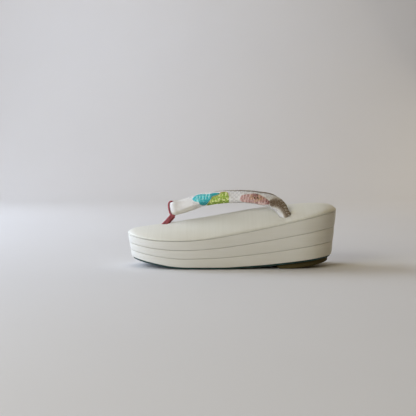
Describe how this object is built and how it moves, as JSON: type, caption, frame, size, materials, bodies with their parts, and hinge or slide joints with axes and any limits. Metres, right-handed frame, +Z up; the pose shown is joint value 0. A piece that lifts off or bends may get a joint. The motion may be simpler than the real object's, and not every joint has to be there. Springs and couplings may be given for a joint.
{
  "type": "zori sandal",
  "caption": "Dress zori sandal: platform sole of wrapped layers, padded domed top, forked brocade strap and front thong.",
  "frame": {"origin": "centre of the shoe's plan, on the floor it stands on", "axes": "+X along the shoe to the heel, -X to the toe, +Z up, +Y across the shoe"},
  "size_m": [0.24, 0.082, 0.0868],
  "materials": {
    "wrapped_cover": "soft sheen, fine grain",
    "cushion_cover": "soft sheen, fine grain",
    "brocade": "woven silk sheen, embroidered",
    "burgundy_band": "matte velvet",
    "dark_rubber": "matte",
    "olive_rubber": "matte"
  },
  "bodies": {
    "root": {"outsole": "dark_rubber", "heel_lift": "olive_rubber", "lower_layer": "wrapped_cover", "middle_layer": "wrapped_cover", "upper_layer": "wrapped_cover", "top_cushion": "cushion_cover", "strap": "brocade", "front_thong": "burgundy_band"}
  },
  "joints": []
}
